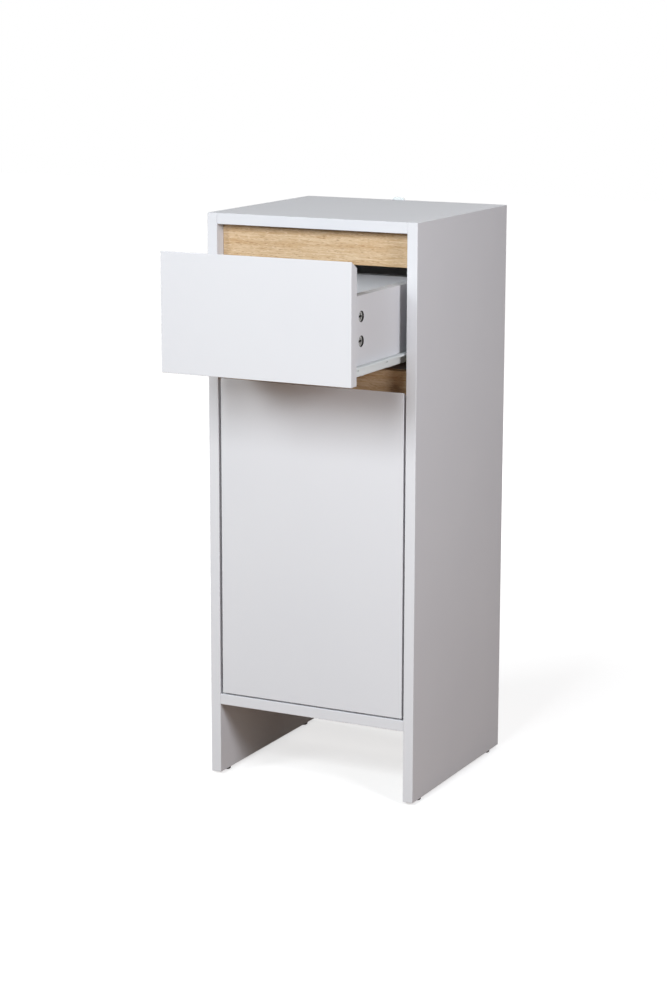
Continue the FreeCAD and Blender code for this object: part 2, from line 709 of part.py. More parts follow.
def bowed(start, end, bow, stations):
    """Path between two pivots that runs beside their straight line between two stations."""
    way = V(end[0] - start[0], end[1] - start[1], 0)
    aside = V(way.y, -way.x, 0).normalize() * bow
    first = V(start[0], start[1], 0)
    path = [first] + [first + way * share + aside for share in stations] + [first + way]
    return [hinge_point((place.x, place.y), 0) for place in path]


def outer_link(z):
    """Forked link from the cup to the arm, with a barrel on the arm's pin."""
    path = bowed(HINGE_A, HINGE_B, OUTER_BOW, OUTER_BOW_AT)
    parts = []
    for z0, z1 in ((z - OUTER_OUT, z - OUTER_IN), (z + OUTER_IN, z + OUTER_OUT)):
        parts.append(strap(path, LINK_HALF, z0, z1))
        parts.append(strap(path[:1], EYE_R, z0, z1))
    parts.append(strap(path[-1:], BARREL_R, z - OUTER_OUT, z + OUTER_OUT))
    return parts[0].fuse(parts[1:]).removeSplitter().cut([pin_bore(HINGE_A, z), pin_bore(HINGE_B, z)])


def inner_link(z):
    """Hooked link between the fork's plates, with a barrel on the arm's pin."""
    path = bowed(HINGE_C, HINGE_D, INNER_HOOK, INNER_HOOK_AT)
    parts = [strap(path, LINK_HALF, z - INNER_HALF_W, z + INNER_HALF_W),
             strap(path[:1], EYE_R, z - INNER_HALF_W, z + INNER_HALF_W),
             strap(path[-1:], BARREL_R, z - OUTER_OUT, z + OUTER_OUT)]
    return parts[0].fuse(parts[1:]).removeSplitter().cut(pin_bore(HINGE_D, z))


def hinge_arm(z):
    """Cranked arm: two cheeks from the mounting plate to the pivots, joined by a web over the plate."""
    x0 = -INNER_X + ARM_LIFT
    x1 = -INNER_X + ARM_TOP
    front = FRONT_Y + ARM_FRONT
    back = FRONT_Y + ARM_BACK
    neck = V((x0 + x1) / 2, front + ARM_NECK_HALF, 0)
    tip = hinge_point(HINGE_B, 0)
    knee = hinge_point(HINGE_D, 0)
    parts = [box(x1 - SHEET, x1, front, back, z - ARM_OUT, z + ARM_OUT)]
    for z0, z1 in ((z - ARM_OUT, z - ARM_IN), (z + ARM_IN, z + ARM_OUT)):
        parts.append(box(x0, x1, front, back, z0, z1))
        parts.append(strap([neck, knee], ARM_NECK_HALF, z0, z1))
        parts.append(strap([knee, tip], BARREL_R, z0, z1))
    cutters = [pin_bore(HINGE_B, z), pin_bore(HINGE_D, z)]
    cutters += [screw_hole(seat, EAST * -1) for seat in arm_screw_places()]
    return parts[0].fuse(parts[1:]).removeSplitter().cut(cutters)


def arm_screw_places():
    """Seats on the arms' webs of the screws that hold and set them."""
    x = -INNER_X + ARM_TOP
    return [V(x, FRONT_Y + back, z) for _, z in HINGES for back in ARM_SCREWS_AT]


def arm_screw(seat):
    """Short screw from the arm's web into the mounting plate."""
    return screw(seat, EAST * -1, ARM_TOP - PLATE_T)


def hinge_plate(z):
    """Winged mounting plate on the side panel with a block that the arm sits over."""
    wall = -INNER_X
    front = FRONT_Y + ARM_FRONT + PLATE_END
    back = FRONT_Y + ARM_BACK - PLATE_END
    middle = (front + back) / 2
    base = box(wall, wall + PLATE_T, front, back, z - PLATE_HALF_W, z + PLATE_HALF_W)
    block = box(wall, wall + ARM_TOP - SHEET, front, back, z - PLATE_HALF_W, z + PLATE_HALF_W)
    wings = [rod(PLATE_R, PLATE_T, V(wall, middle, z + way * PLATE_SCREW), EAST) for way in (-1, 1)]
    web = box(wall, wall + PLATE_T, middle - PLATE_R, middle + PLATE_R, z - PLATE_SCREW, z + PLATE_SCREW)
    cutters = [screw_hole(seat + EAST * PLATE_T, EAST * -1) for seat in plate_screw_places()]
    cutters += [screw_hole(seat, EAST * -1, ARM_TOP - PLATE_T) for seat in arm_screw_places()]
    return base.fuse([block, web] + wings).removeSplitter().cut(cutters)


def arm_pins(z):
    """Pins of both links in the arm's cheeks."""
    length = 2 * ARM_OUT + LINK_HALF
    low = z - length / 2
    return [rod(HINGE_PIN_R, length, hinge_point(pivot, low), UP) for pivot in (HINGE_B, HINGE_D)]


def both_sides(shape):
    """The right-hand shape and its mirror image."""
    return [mirrored(shape, sign) for _, sign in SIDES]


def save(node, shapes):
    """Writes one node, as one solid or as a group of separate solids."""
    shape = shapes if isinstance(shapes, Part.Shape) else Part.makeCompound(shapes)
    shape.exportStep(os.path.join("parts", f"{node}.step"))


def build_carcass():
    """Boards, fittings and feet that stand still."""
    for side, sign in SIDES:
        save(f"side_panel_{side}", side_panel(sign))
    save("top_panel", top_panel())
    save("bottom_panel", bottom_panel())
    save("divider_panel", divider_panel())
    save("back_panel", back_panel())
    save("upper_rail", rail(TOP_UNDER))
    save("lower_rail", rail(LOWER_RAIL_TOP))
    save("shelf", shelf())
    save("shelf_pins", [shelf_pin(*place) for place in pin_places((0,))])
    save("carcass_cams", [cam(*place) for place in carcass_cam_places()])
    save("carcass_cam_bolts", [cam_bolt(*place, CAM_SETBACK) for place in carcass_cam_places()])
    save("panel_dowels", dowels())
    save("back_panel_screws", [screw(seat, NORTH * -1, BACK_SCREW_L) for seat in back_screw_places()])
    for corner, place in glide_places():
        save(f"foot_glide_{corner}", glide(place))
    save("hanger_plate", hanger_plate())
    save("hanger_screw", hanger_screw(0))


def build_runners():
    """Runners, rollers, axles and their screws."""
    for side, sign in SIDES:
        save(f"cabinet_runner_{side}", mirrored(cabinet_runner(), sign))
        save(f"drawer_runner_{side}", mirrored(drawer_runner(), sign))
        save(f"front_roller_{side}", mirrored(roller(FRONT_ROLLER_Y), sign))
        save(f"rear_roller_{side}", mirrored(roller(REAR_ROLLER_Y), sign))
    save("front_roller_axles", both_sides(front_axle()))
    save("rear_roller_axles", both_sides(rear_axle()))
    seats = [V(INNER_X - SHEET, y, ROLLER_Z) for y in runner_screw_places(RUNNER_Y)]
    save("cabinet_runner_screws", [half for seat in seats for half in both_sides(screw(seat, EAST))])
    screws = [screw(seat, UP) for seat in drawer_runner_seats()]
    save("drawer_runner_screws", [half for one in screws for half in both_sides(one)])


def build_drawer():
    """Drawer box and its fittings."""
    half = INNER_X - DRAWER_FRONT_GAP
    save("drawer_front", drawer_front())
    for side, sign in SIDES:
        save(f"drawer_side_{side}", drawer_side(sign))
    save("drawer_back", drawer_back())
    save("drawer_bottom", drawer_bottom_slab(0))
    save("drawer_cams", [cam(*place) for place in drawer_cam_places()])
    save("drawer_cam_bolts", [cam_bolt(*place, DRAWER_CAM_SETBACK) for place in drawer_cam_places()])
    save("drawer_back_screws", [drawer_back_screw(*place) for place in drawer_back_screw_places()])
    places = bumper_places(-half, half, BOX_Y, DRAWER_TOP)
    save("drawer_bumpers", [rod(BUMPER_R, BUMPER_T, place, NORTH) for place in places])


def build_door():
    """Door, its bumpers and the two cup hinges."""
    save("door_panel", door_panel())
    places = bumper_places(DOOR_LEFT, DOOR_RIGHT, FRONT_Y + FRONT_T, DOOR_TOP)
    save("door_bumpers", [rod(BUMPER_R, BUMPER_T, place, NORTH) for place in places])
    for name, z in HINGES:
        save(f"hinge_cup_{name}", hinge_cup(z))
        save(f"hinge_outer_link_{name}", outer_link(z))
        save(f"hinge_inner_link_{name}", inner_link(z))
        save(f"hinge_arm_{name}", hinge_arm(z))
        save(f"hinge_plate_{name}", hinge_plate(z))
    save("hinge_cup_pins", [pin for _, z in HINGES for pin in cup_pins(z)])
    save("hinge_arm_pins", [pin for _, z in HINGES for pin in arm_pins(z)])
    save("hinge_cup_screws", [screw(seat, NORTH * -1) for seat in cup_screw_places()])
    save("hinge_arm_screws", [arm_screw(seat) for seat in arm_screw_places()])
    save("hinge_plate_screws", [screw(seat + EAST * PLATE_T, EAST * -1) for seat in plate_screw_places()])


os.makedirs("parts", exist_ok=True)
build_carcass()
build_runners()
build_drawer()
build_door()
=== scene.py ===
"""Looks of a narrow bathroom cabinet: finishes of boards and fittings, small fasteners and the studio.

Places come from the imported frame, in metres. A finish states the sizes of its pattern in millimetres.
"""
import logging
import math
from abc import ABC, abstractmethod
from dataclasses import dataclass
from enum import Enum

import bmesh
import bpy
from mathutils import Matrix, Vector


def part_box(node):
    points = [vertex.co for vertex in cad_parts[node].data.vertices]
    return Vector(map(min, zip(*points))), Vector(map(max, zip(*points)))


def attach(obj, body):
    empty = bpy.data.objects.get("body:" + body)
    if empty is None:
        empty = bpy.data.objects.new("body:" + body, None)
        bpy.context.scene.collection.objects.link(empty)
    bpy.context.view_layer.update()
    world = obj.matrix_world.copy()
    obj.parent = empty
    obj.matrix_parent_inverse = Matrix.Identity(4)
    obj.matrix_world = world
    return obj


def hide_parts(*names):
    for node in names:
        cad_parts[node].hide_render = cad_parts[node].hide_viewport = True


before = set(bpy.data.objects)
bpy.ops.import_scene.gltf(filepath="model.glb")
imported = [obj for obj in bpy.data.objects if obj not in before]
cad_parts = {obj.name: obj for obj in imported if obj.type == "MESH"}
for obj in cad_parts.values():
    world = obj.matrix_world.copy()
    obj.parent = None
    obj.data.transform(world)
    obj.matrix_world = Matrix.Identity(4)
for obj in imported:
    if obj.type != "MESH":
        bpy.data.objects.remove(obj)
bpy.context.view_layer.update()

LOG = logging.getLogger("bathroom_cabinet")
MM = 0.001
FULL_TURN = 2 * math.pi
WHITE = "#FFFFFF"

# Tilt that brings a lamp or camera from looking straight down to looking level
LEVEL_TILT_DEG = 90

# Curve of the sRGB standard: a straight foot, and above it a power with an offset
SRGB_FOOT = 0.04045
SRGB_FOOT_SLOPE = 12.92
SRGB_OFFSET = 0.055
SRGB_POWER = 2.4

# A wave texture of scale one runs through this many radians in a metre
WAVE_RATE = 20

# Steps round a turned fastener, and the angle from which an edge on it stays sharp
ROUND_STEPS = 40
SHARP_ANGLE = math.radians(32)

# Points nearer than this, in metres, are one point
WELD = 1e-6

# Half the width of a cross drive's arm, as a share of the drive's size
CROSS_ARM = 1 / 6
HEXAGON_SIDES = 6

# Attribute of a fastener's mesh: one at the points that take a painted shade, in the drive's recess and on
# a cam's rim wall, and zero at the others
PAINTED_SHADE = "painted_shade"

# Sockets of a colour mix node, which repeats its socket names for each type of value
MIX_A = 6
MIX_B = 7
MIX_RESULT = 2


class Body(str, Enum):
    """Moving bodies that new pieces ride on."""

    CABINET = "cabinet"
    DRAWER = "drawer"
    DOOR = "door"


class Slot(str, Enum):
    """Material slots of the record, carried by each set of new pieces but not used; the pieces take the
    set's finish.
    """

    ZINC = "zinc"
    SCREW_STEEL = "screw_steel"


class Drive(Enum):
    """Recess that a driver turns a fastener by."""

    CROSS = "cross"
    HEXAGON = "hexagon"


class Axis(Enum):
    """Axes of the row frame, by the name of a Separate XYZ output."""

    X = "X"
    Y = "Y"
    Z = "Z"


class Facing(Enum):
    """Way that a fastener's head faces; the last two depend on its side of the cabinet."""

    DOWN = "down"
    BACK = "back"
    RIGHT = "right"
    OUTWARD = "outward"
    INWARD = "inward"

    def way(self, place: Vector) -> Vector:
        """Direction of the head.

        Args:
            place: Middle of the fastener in the row frame.

        Returns:
            Unit vector out of the head.
        """
        side = math.copysign(1, place.x)
        ways = {Facing.DOWN: (0, 0, -1), Facing.BACK: (0, 1, 0), Facing.RIGHT: (1, 0, 0),
                Facing.OUTWARD: (side, 0, 0), Facing.INWARD: (-side, 0, 0)}
        return Vector(ways[self])


def linear(colour: str) -> tuple[float, float, float, float]:
    """Turns an sRGB colour into linear light.

    Args:
        colour: Hex value such as "#E8E8EB".

    Returns:
        Red, green, blue and an alpha of one.
    """
    parts = [int(colour[start:start + 2], 16) / 255 for start in (1, 3, 5)]
    light = [part / SRGB_FOOT_SLOPE if part <= SRGB_FOOT else
             ((part + SRGB_OFFSET) / (1 + SRGB_OFFSET)) ** SRGB_POWER for part in parts]
    return (*light, 1.0)


def repeats(size_mm: float) -> float:
    """Texture scale that makes a noise's features about a size in millimetres."""
    return 1 / (size_mm * MM)


def bands(size_mm: float) -> float:
    """Texture scale that makes a wave's bands repeat at a size in millimetres."""
    return FULL_TURN / WAVE_RATE / (size_mm * MM)


def add_node(tree: bpy.types.NodeTree, kind: str, options: dict[str, object] | None = None,
             inputs: dict[str | int, object] | None = None) -> bpy.types.Node:
    """Adds a node with its settings and links.

    Args:
        tree: Node tree that takes the node.
        kind: Type name of the node.
        options: Values of the node's own properties.
        inputs: Values of its input sockets, or output sockets to link to them.

    Returns:
        The new node.
    """
    node = tree.nodes.new(kind)
    for name, value in (options or {}).items():
        setattr(node, name, value)
    for key, value in (inputs or {}).items():
        if isinstance(value, bpy.types.NodeSocket):
            tree.links.new(value, node.inputs[key])
        else:
            node.inputs[key].default_value = value
    return node


def shown_rays(tree: bpy.types.NodeTree) -> bpy.types.NodeSocket:
    """Adds a test for the rays that show the surround: from the camera, reflected or through glass.

    Args:
        tree: Node tree that takes the nodes.

    Returns:
        Socket that gives one for such a ray and zero for others.
    """
    path = add_node(tree, "ShaderNodeLightPath")
    seen = add_node(tree, "ShaderNodeMath", {"operation": "ADD"}, {
        0: path.outputs["Is Camera Ray"], 1: path.outputs["Is Glossy Ray"]})
    shown = add_node(tree, "ShaderNodeMath", {"operation": "ADD", "use_clamp": True}, {
        0: seen.outputs["Value"], 1: path.outputs["Is Transmission Ray"]})
    return shown.outputs["Value"]


class Finish(ABC):
    """Surface finish that is named for its material and for how its surface was made."""

    name: str

    @abstractmethod
    def surface(self, tree: bpy.types.NodeTree, place: bpy.types.NodeSocket) -> bpy.types.Node:
        """Adds the finish's pattern and shader.

        Args:
            tree: Node tree of the material.
            place: Object coordinates in metres.

        Returns:
            The shader node.
        """

    def material(self) -> bpy.types.Material:
        """Makes the material on its first use.

        Returns:
            The material of this name.
        """
        found = bpy.data.materials.get(self.name)
        if found is not None:
            return found
        made = bpy.data.materials.new(self.name)
        made.use_nodes = True
        tree = made.node_tree
        tree.nodes.clear()
        place = add_node(tree, "ShaderNodeTexCoord").outputs["Object"]
        shader = self.surface(tree, place)
        add_node(tree, "ShaderNodeOutputMaterial", inputs={"Surface": shader.outputs[0]})
        return made


class Textured(Finish):
    """Finish whose gloss and relief follow its pattern."""

    # Roughness where the pattern is lowest and highest, and strength of the relief
    gloss: tuple[float, float]
    relief: float

    def skin(self, tree: bpy.types.NodeTree, tone: bpy.types.NodeSocket, wear: bpy.types.NodeSocket,
             height: bpy.types.NodeSocket, deep_mm: float,
             more: dict[str, float] | None = None) -> bpy.types.Node:
        """Adds the shader with its gloss and relief.

        Args:
            tree: Node tree of the material.
            tone: Colour of the surface.
            wear: Pattern from zero to one that the gloss follows.
            height: Pattern from zero to one that the relief follows.
            deep_mm: Depth of the relief.
            more: Further values of the shader.

        Returns:
            The shader node.
        """
        gloss = add_node(tree, "ShaderNodeMapRange", inputs={
            "Value": wear, "To Min": self.gloss[0], "To Max": self.gloss[1]})
        relief = add_node(tree, "ShaderNodeBump", inputs={
            "Strength": self.relief, "Distance": deep_mm * MM, "Height": height})
        return add_node(tree, "ShaderNodeBsdfPrincipled", inputs={
            "Base Color": tone, "Roughness": gloss.outputs["Result"], "Normal": relief.outputs["Normal"],
            **(more or {})})


# Foil pressed on chipboard with a textured plate: an even white, dulled by a fine pebble grain.
@dataclass(frozen=True)
class PressedFoil(Textured):
    """White foil on board."""

    name: str = "melamine_foil_pressed"
    colour: str = "#E2E2E5"
    shade: str = "#DDDDE1"
    cloud_mm: float = 140.0
    cloud_octaves: float = 2.0
    # The plate's grain is nearer 0.3 mm and is drawn coarser so that it shows
    grain_mm: float = 1.1
    grain_deep_mm: float = 0.05
    grain_octaves: float = 3.0
    grain_harshness: float = 0.6
    gloss: tuple[float, float] = (0.42, 0.54)
    relief: float = 0.25
    # The grain breaks up most of the mirror reflection
    mirror: float = 0.08

    def surface(self, tree: bpy.types.NodeTree, place: bpy.types.NodeSocket) -> bpy.types.Node:
        """Adds a pebble grain over a faint clouding of the white.

        Args:
            tree: Node tree of the material.
            place: Object coordinates in metres.

        Returns:
            The shader node.
        """
        grain = add_node(tree, "ShaderNodeTexNoise", inputs={
            "Vector": place, "Scale": repeats(self.grain_mm), "Detail": self.grain_octaves,
            "Roughness": self.grain_harshness})
        cloud = add_node(tree, "ShaderNodeTexNoise", inputs={
            "Vector": place, "Scale": repeats(self.cloud_mm), "Detail": self.cloud_octaves})
        tone = add_node(tree, "ShaderNodeMix", {"data_type": "RGBA"}, {
            "Factor": cloud.outputs["Fac"], MIX_A: linear(self.shade), MIX_B: linear(self.colour)})
        return self.skin(tree, tone.outputs[MIX_RESULT], grain.outputs["Fac"], grain.outputs["Fac"],
                         self.grain_deep_mm, {"Specular IOR Level": self.mirror})


# Lacquer sprayed on fibreboard: a smooth white whose highlights waver over a faint orange peel.
@dataclass(frozen=True)
class SprayedLacquer(Textured):
    """White lacquer on the fronts."""

    name: str = "lacquer_white_sprayed"
    colour: str = "#DEDEE1"
    shade: str = "#D9D9DD"
    cloud_mm: float = 180.0
    cloud_octaves: float = 2.0
    peel_mm: float = 3.5
    peel_deep_mm: float = 0.03
    peel_octaves: float = 1.0
    dust_mm: float = 0.9
    dust_octaves: float = 2.0
    gloss: tuple[float, float] = (0.36, 0.44)
    relief: float = 0.2

    def surface(self, tree: bpy.types.NodeTree, place: bpy.types.NodeSocket) -> bpy.types.Node:
        """Adds the orange peel and a dust-fine change of gloss over a faint clouding.

        Args:
            tree: Node tree of the material.
            place: Object coordinates in metres.

        Returns:
            The shader node.
        """
        peel, dust, cloud = (add_node(tree, "ShaderNodeTexNoise", inputs={
            "Vector": place, "Scale": repeats(size_mm), "Detail": octaves}).outputs["Fac"]
            for size_mm, octaves in ((self.peel_mm, self.peel_octaves), (self.dust_mm, self.dust_octaves),
                                     (self.cloud_mm, self.cloud_octaves)))
        tone = add_node(tree, "ShaderNodeMix", {"data_type": "RGBA"}, {
            "Factor": cloud, MIX_A: linear(self.shade), MIX_B: linear(self.colour)})
        return self.skin(tree, tone.outputs[MIX_RESULT], dust, peel, self.peel_deep_mm)


@dataclass(frozen=True)
class WoodMarks:
    """One kind of mark in wood, drawn out along the grain: bands where it has a bend, or else specks."""

    colour: str
    size_mm: float
    stretch: float
    octaves: float
    edges: tuple[float, float]
    share: float = 1.0
    harshness: float = 0.5
    bend: float | None = None
    bend_scale: float = 0.7

    def lay(self, tree: bpy.types.NodeTree, place: bpy.types.NodeSocket,
            under: bpy.types.NodeSocket | tuple[float, ...],
            ) -> tuple[bpy.types.NodeSocket, bpy.types.NodeSocket]:
        """Adds the marks over what is under them.

        Args:
            tree: Node tree of the material.
            place: Object coordinates in metres.
            under: Socket with a colour, or a linear colour.

        Returns:
            Amount of the marks, and the marked colour.
        """
        drawn = add_node(tree, "ShaderNodeMapping", inputs={
            "Vector": place, "Scale": (self.stretch, 1.0, 1.0)})
        spread = {"Vector": drawn.outputs["Vector"], "Detail": self.octaves}
        if self.bend is None:
            pattern = add_node(tree, "ShaderNodeTexNoise", inputs={
                **spread, "Scale": repeats(self.size_mm), "Roughness": self.harshness})
        else:
            pattern = add_node(tree, "ShaderNodeTexWave", {"bands_direction": Axis.Z.value}, {
                **spread, "Scale": bands(self.size_mm), "Distortion": self.bend,
                "Detail Scale": self.bend_scale})
        amount = add_node(tree, "ShaderNodeMapRange", inputs={
            "Value": pattern.outputs["Fac"], "From Min": self.edges[0], "From Max": self.edges[1],
            "To Max": self.share})
        tone = add_node(tree, "ShaderNodeMix", {"data_type": "RGBA"}, {
            "Factor": amount.outputs["Result"], MIX_A: under, MIX_B: linear(self.colour)})
        return amount.outputs["Result"], tone.outputs[MIX_RESULT]


# Oak veneer, sliced and brushed: pale straw with long fibres, short dark pores, light ray flecks and
# a faint figure.
@dataclass(frozen=True)
class BrushedOak(Finish):
    """Straight-grained oak whose grain runs along X."""

    name: str = "oak_veneer_brushed"
    straw: str = "#C3A27B"
    pale_fibres: WoodMarks = WoodMarks(
        "#DDC5A5", size_mm=1.7, stretch=0.05, octaves=5.0, edges=(0.32, 0.68), harshness=0.65)
    late_wood: WoodMarks = WoodMarks(
        "#AF8453", size_mm=17.0, stretch=0.3, octaves=3.0, edges=(0.4, 1.0), share=0.24, bend=9.0)
    # Rays and pores are nearer 0.3 mm wide and are drawn wider so that they show
    rays: WoodMarks = WoodMarks(
        "#E7D2B5", size_mm=1.0, stretch=0.14, octaves=1.0, edges=(0.58, 0.7), share=0.55)
    pores: WoodMarks = WoodMarks(
        "#90643A", size_mm=0.8, stretch=0.11, octaves=2.0, edges=(0.57, 0.7), share=0.6)
    pore_deep_mm: float = 0.12
    relief: float = 0.5
    gloss: float = 0.52
    # Brushing leaves open fibres, which break up most of the mirror reflection
    mirror: float = 0.08

    def surface(self, tree: bpy.types.NodeTree, place: bpy.types.NodeSocket) -> bpy.types.Node:
        """Lays the fibres, the figure, the rays and the sunk pores over straw.

        Args:
            tree: Node tree of the material.
            place: Object coordinates in metres.

        Returns:
            The shader node.
        """
        tone = linear(self.straw)
        for marks in (self.pale_fibres, self.late_wood, self.rays):
            tone = marks.lay(tree, place, tone)[1]
        sunk, tone = self.pores.lay(tree, place, tone)
        relief = add_node(tree, "ShaderNodeBump", {"invert": True}, {
            "Strength": self.relief, "Distance": self.pore_deep_mm * MM, "Height": sunk})
        return add_node(tree, "ShaderNodeBsdfPrincipled", inputs={
            "Base Color": tone, "Roughness": self.gloss, "Specular IOR Level": self.mirror,
            "Normal": relief.outputs["Normal"]})


# Hardboard painted on one side: smooth white within, and raw brown fibres with a screen's print outside.
@dataclass(frozen=True)
class PaintedHardboard(Textured):
    """Thin board that is white on one side and raw on the other."""

    name: str
    axis: Axis
    middle: float
    raw_above: bool
    paint: str = "#D7D7D9"
    fibre: str = "#A27A4F"
    dark_fibre: str = "#7C5735"
    # The screen's wires are about 0.8 mm apart and are drawn wider so that they show
    screen_mm: float = 2.2
    screen_deep_mm: float = 0.15
    chip_mm: float = 2.6
    chip_octaves: float = 6.0
    chip_harshness: float = 0.7
    # Roughness of the paint and of the raw side
    gloss: tuple[float, float] = (0.45, 0.8)
    relief: float = 0.6

    def surface(self, tree: bpy.types.NodeTree, place: bpy.types.NodeSocket) -> bpy.types.Node:
        """Adds paint on one side of the board's middle and printed fibres on the other.

        Args:
            tree: Node tree of the material.
            place: Object coordinates in metres.

        Returns:
            The shader node.
        """
        split = add_node(tree, "ShaderNodeSeparateXYZ", inputs={"Vector": place})
        past_middle = "GREATER_THAN" if self.raw_above else "LESS_THAN"
        raw = add_node(tree, "ShaderNodeMath", {"operation": past_middle}, {
            0: split.outputs[self.axis.value], 1: self.middle}).outputs["Value"]
        chips = add_node(tree, "ShaderNodeTexNoise", inputs={
            "Vector": place, "Scale": repeats(self.chip_mm), "Detail": self.chip_octaves,
            "Roughness": self.chip_harshness})
        brown = add_node(tree, "ShaderNodeMix", {"data_type": "RGBA"}, {
            "Factor": chips.outputs["Fac"], MIX_A: linear(self.dark_fibre), MIX_B: linear(self.fibre)})
        warp, weft = (add_node(tree, "ShaderNodeTexWave", {"bands_direction": axis.value}, {
            "Vector": place, "Scale": bands(self.screen_mm)}) for axis in Axis if axis is not self.axis)
        screen = add_node(tree, "ShaderNodeMath", {"operation": "MULTIPLY"}, {
            0: warp.outputs["Fac"], 1: weft.outputs["Fac"]})
        height = add_node(tree, "ShaderNodeMath", {"operation": "MULTIPLY"}, {
            0: screen.outputs["Value"], 1: raw})
        tone = add_node(tree, "ShaderNodeMix", {"data_type": "RGBA"}, {
            "Factor": raw, MIX_A: linear(self.paint), MIX_B: brown.outputs[MIX_RESULT]})
        return self.skin(tree, tone.outputs[MIX_RESULT], raw, height.outputs["Value"], self.screen_deep_mm)


# A cast, rolled or plated metal: the grain breaks its gloss, its stains change the tone over a few
# millimetres, and a painted shade darkens the recesses of a fastener's head.
@dataclass(frozen=True)
class Metal(Textured):
    """Bare or plated metal."""

    name: str
    colour: str
    stain: str
    stain_mm: float
    grain_mm: float
    grain_deep_mm: float
    gloss: tuple[float, float]
    stretch: tuple[float, float, float] = (1.0, 1.0, 1.0)
    # Painted shade: the dark colour given to the recesses of a fastener's head
    painted_shade: str = "#2C2827"
    octaves: float = 3.0
    relief: float = 0.3

    def surface(self, tree: bpy.types.NodeTree, place: bpy.types.NodeSocket) -> bpy.types.Node:
        """Adds the grain, which may be drawn out by rolling, the stains and a painted shade in recesses.

        Args:
            tree: Node tree of the material.
            place: Object coordinates in metres.

        Returns:
            The shader node.
        """
        drawn = add_node(tree, "ShaderNodeMapping", inputs={"Vector": place, "Scale": self.stretch})
        grain = add_node(tree, "ShaderNodeTexNoise", inputs={
            "Vector": drawn.outputs["Vector"], "Scale": repeats(self.grain_mm), "Detail": self.octaves})
        stain = add_node(tree, "ShaderNodeTexNoise", inputs={
            "Vector": place, "Scale": repeats(self.stain_mm), "Detail": self.octaves})
        unshaded = add_node(tree, "ShaderNodeMix", {"data_type": "RGBA"}, {
            "Factor": stain.outputs["Fac"], MIX_A: linear(self.stain), MIX_B: linear(self.colour)})
        # Painted shade where the fastener's mesh marks a recess, mixed over the metal's own tone
        recess = add_node(tree, "ShaderNodeAttribute", {"attribute_name": PAINTED_SHADE})
        tone = add_node(tree, "ShaderNodeMix", {"data_type": "RGBA"}, {
            "Factor": recess.outputs["Fac"], MIX_A: unshaded.outputs[MIX_RESULT], MIX_B: linear(self.painted_shade)})
        return self.skin(tree, tone.outputs[MIX_RESULT], grain.outputs["Fac"], grain.outputs["Fac"],
                         self.grain_deep_mm, {"Metallic": 1.0})


# A moulded or baked-on polymer: an even colour, its skin slightly uneven, and a soft glow where light
# gets in.
@dataclass(frozen=True)
class Polymer(Textured):
    """Plastic, rubber or powder coat."""

    name: str
    colour: str
    shade: str
    grain_mm: float
    grain_deep_mm: float
    gloss: tuple[float, float]
    glow: float = 0.0
    glow_mm: float = 1.0
    coat: float = 0.0
    octaves: float = 2.0
    relief: float = 0.3

    def surface(self, tree: bpy.types.NodeTree, place: bpy.types.NodeSocket) -> bpy.types.Node:
        """Adds an uneven skin over a colour that varies a little.

        Args:
            tree: Node tree of the material.
            place: Object coordinates in metres.

        Returns:
            The shader node.
        """
        grain = add_node(tree, "ShaderNodeTexNoise", inputs={
            "Vector": place, "Scale": repeats(self.grain_mm), "Detail": self.octaves}).outputs["Fac"]
        tone = add_node(tree, "ShaderNodeMix", {"data_type": "RGBA"}, {
            "Factor": grain, MIX_A: linear(self.shade), MIX_B: linear(self.colour)})
        return self.skin(tree, tone.outputs[MIX_RESULT], grain, grain, self.grain_deep_mm, {
            "Subsurface Weight": self.glow, "Subsurface Scale": self.glow_mm * MM,
            "Coat Weight": self.coat})


# Beech turned into dowels: pinkish tan with short dark flecks along the grain.
@dataclass(frozen=True)
class TurnedBeech(Finish):
    """Beech whose grain runs along X."""

    name: str = "beech_turned"
    fleck: str = "#A87A52"
    tan: WoodMarks = WoodMarks("#D0A67C", size_mm=0.8, stretch=0.15, octaves=2.0, edges=(0.0, 1.0))
    gloss: float = 0.6

    def surface(self, tree: bpy.types.NodeTree, place: bpy.types.NodeSocket) -> bpy.types.Node:
        """Lays tan over the colour of the flecks, which stay open along the dowels.

        Args:
            tree: Node tree of the material.
            place: Object coordinates in metres.

        Returns:
            The shader node.
        """
        tone = self.tan.lay(tree, place, linear(self.fleck))[1]
        return add_node(tree, "ShaderNodeBsdfPrincipled", inputs={
            "Base Color": tone, "Roughness": self.gloss})


MELAMINE = PressedFoil()
# The drawer box has the same foil in a slightly lighter white
DRAWER_FOIL = PressedFoil(name="drawer_foil_pressed", colour="#E4E4E7", shade="#DFDFE2")
LACQUER = SprayedLacquer()
OAK = BrushedOak()
BEECH = TurnedBeech()
# Zinc cast in a mould: dull and warm grey, mottled
ZINC = Metal("zinc_die_cast", "#C9C7C5", "#A9A7A4", stain_mm=2.5, grain_mm=0.7, grain_deep_mm=0.06,
             gloss=(0.32, 0.55))
# Steel pressed and nickel-plated: bright and warm, with faint lines from front to back
NICKEL = Metal("steel_nickel_plated", "#D2CEC8", "#BDB8B0", stain_mm=9.0, grain_mm=0.8, grain_deep_mm=0.02,
               gloss=(0.18, 0.32), stretch=(1.0, 0.15, 1.0))
# Steel turned and zinc-plated: cool grey with a soft sheen
SCREW_PLATE = Metal("steel_zinc_plated", "#C6C9CC", "#A9ACAE", stain_mm=3.0, grain_mm=0.6,
                    grain_deep_mm=0.02, gloss=(0.26, 0.42))
# Epoxy powder baked on steel: a cool white under a thin clear skin
EPOXY = Polymer("steel_epoxy_baked", "#E2E7E7", "#DCE1E1", grain_mm=1.6, grain_deep_mm=0.05,
                gloss=(0.3, 0.4), coat=0.1)
